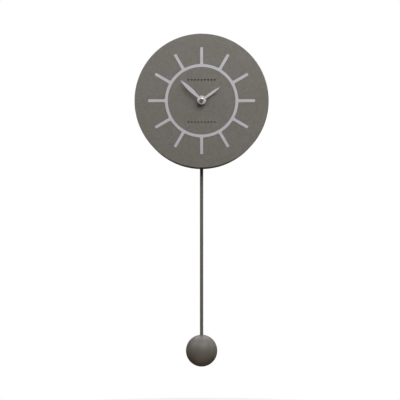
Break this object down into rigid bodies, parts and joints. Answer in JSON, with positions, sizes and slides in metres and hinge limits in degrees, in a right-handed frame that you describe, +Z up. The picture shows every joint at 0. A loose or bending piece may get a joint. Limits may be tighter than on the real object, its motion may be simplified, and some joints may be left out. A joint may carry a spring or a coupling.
{
  "type": "pendulum wall clock",
  "caption": "Round wall clock with a sunburst dial, leaf-shaped hands and a ball pendulum on a long rod.",
  "frame": {"origin": "on the wall plane, on the axis of the wall screw that bears in the keyhole's slot", "axes": "+Z up along the wall, +Y into the wall, +X to the right as seen from the front"},
  "size_m": [0.24, 0.0786, 0.6],
  "materials": {
    "taupe_lacquered_board": "matte",
    "taupe_lacquered_steel": "matte",
    "silver_sheet": "satin",
    "brass": "polished",
    "zinc_steel": "satin",
    "soft_iron": "satin",
    "ferrite": "matte",
    "copper_wire": "gloss",
    "black_plastic": "satin",
    "white_plastic": "satin",
    "natural_plastic": "satin",
    "rubber": "matte",
    "circuit_board": "satin",
    "battery_sleeve": "gloss"
  },
  "bodies": {
    "clock_body": {"dial_board": "taupe_lacquered_board", "sun_inlay": "silver_sheet", "drum_ring": "taupe_lacquered_board", "hanger_plate": "zinc_steel", "hanger_screw_left": "zinc_steel", "hanger_screw_right": "zinc_steel", "wall_pad_1": "rubber", "wall_pad_2": "rubber", "wall_pad_3": "rubber", "wall_pad_4": "rubber", "case_front": "black_plastic", "case_rear": "black_plastic", "middle_plate": "natural_plastic", "centre_bushing": "brass", "rubber_washer": "rubber", "nut_washer": "brass", "hex_nut": "brass", "stator": "soft_iron", "coil_core": "soft_iron", "coil_bobbin": "white_plastic", "coil_winding": "copper_wire", "circuit_board": "circuit_board", "quartz_crystal": "zinc_steel", "control_chip": "black_plastic", "positive_contact": "zinc_steel", "negative_contact": "zinc_steel", "drive_coil": "copper_wire", "pivot_pin": "zinc_steel"},
    "minute_hand_body": {"centre_arbor": "zinc_steel", "minute_hand": "silver_sheet", "hand_nut": "brass"},
    "hour_hand_body": {"hour_wheel": "black_plastic", "hour_hand": "silver_sheet"},
    "minute_wheel_body": {"minute_wheel": "white_plastic", "setting_knob": "black_plastic"},
    "centre_wheel_body": {"centre_wheel": "white_plastic"},
    "third_wheel_body": {"third_wheel": "white_plastic"},
    "fourth_wheel_body": {"fourth_wheel": "white_plastic"},
    "step_wheel_body": {"step_wheel": "white_plastic"},
    "rotor_body": {"rotor_pinion": "white_plastic", "rotor_magnet": "ferrite"},
    "pendulum": {"pendulum_lever": "white_plastic", "drive_magnet": "ferrite", "rod_eye": "zinc_steel", "pendulum_rod": "taupe_lacquered_steel", "rod_stud": "zinc_steel", "ball_insert": "brass", "ball": "taupe_lacquered_board"},
    "battery_body": {"battery": "battery_sleeve"}
  },
  "joints": [
    {"name": "minute_turn", "type": "hinge", "parent": "clock_body", "child": "minute_hand_body", "pos_m": [0, -0.05, -0.1145], "axis": [0, 1, 0], "continuous": true},
    {"name": "hour_turn", "type": "hinge", "parent": "clock_body", "child": "hour_hand_body", "pos_m": [0, -0.05, -0.1145], "axis": [0, 1, 0], "continuous": true},
    {"name": "setting_turn", "type": "hinge", "parent": "clock_body", "child": "minute_wheel_body", "pos_m": [0.00919, -0.05, -0.12221], "axis": [0, 1, 0], "continuous": true},
    {"name": "centre_wheel_turn", "type": "hinge", "parent": "clock_body", "child": "centre_wheel_body", "pos_m": [0, -0.048, -0.1145], "axis": [0, 1, 0], "continuous": true},
    {"name": "third_wheel_turn", "type": "hinge", "parent": "clock_body", "child": "third_wheel_body", "pos_m": [-0.00935, -0.046, -0.1091], "axis": [0, 1, 0], "continuous": true},
    {"name": "fourth_wheel_turn", "type": "hinge", "parent": "clock_body", "child": "fourth_wheel_body", "pos_m": [-0.01199, -0.044, -0.11895], "axis": [0, 1, 0], "continuous": true},
    {"name": "step_wheel_turn", "type": "hinge", "parent": "clock_body", "child": "step_wheel_body", "pos_m": [-0.01857, -0.042, -0.12135], "axis": [0, 1, 0], "continuous": true},
    {"name": "rotor_turn", "type": "hinge", "parent": "clock_body", "child": "rotor_body", "pos_m": [-0.01557, -0.04, -0.12654], "axis": [0, 1, 0], "continuous": true},
    {"name": "pendulum_swing", "type": "hinge", "parent": "clock_body", "child": "pendulum", "pos_m": [0, -0.0375, -0.1615], "axis": [0, 1, 0], "range_deg": [-8, 8]},
    {"name": "battery_out", "type": "slide", "parent": "clock_body", "child": "battery_body", "axis": [0, 1, 0], "range_m": [0, 0.024]}
  ],
  "couplings": [
    {"joint": "hour_turn", "follows": "minute_turn", "ratio": 0.083333},
    {"joint": "setting_turn", "follows": "minute_turn", "ratio": -0.33333},
    {"joint": "centre_wheel_turn", "follows": "minute_turn", "ratio": 1},
    {"joint": "third_wheel_turn", "follows": "minute_turn", "ratio": -8},
    {"joint": "fourth_wheel_turn", "follows": "minute_turn", "ratio": 60},
    {"joint": "step_wheel_turn", "follows": "minute_turn", "ratio": -360},
    {"joint": "rotor_turn", "follows": "minute_turn", "ratio": 1800}
  ]
}
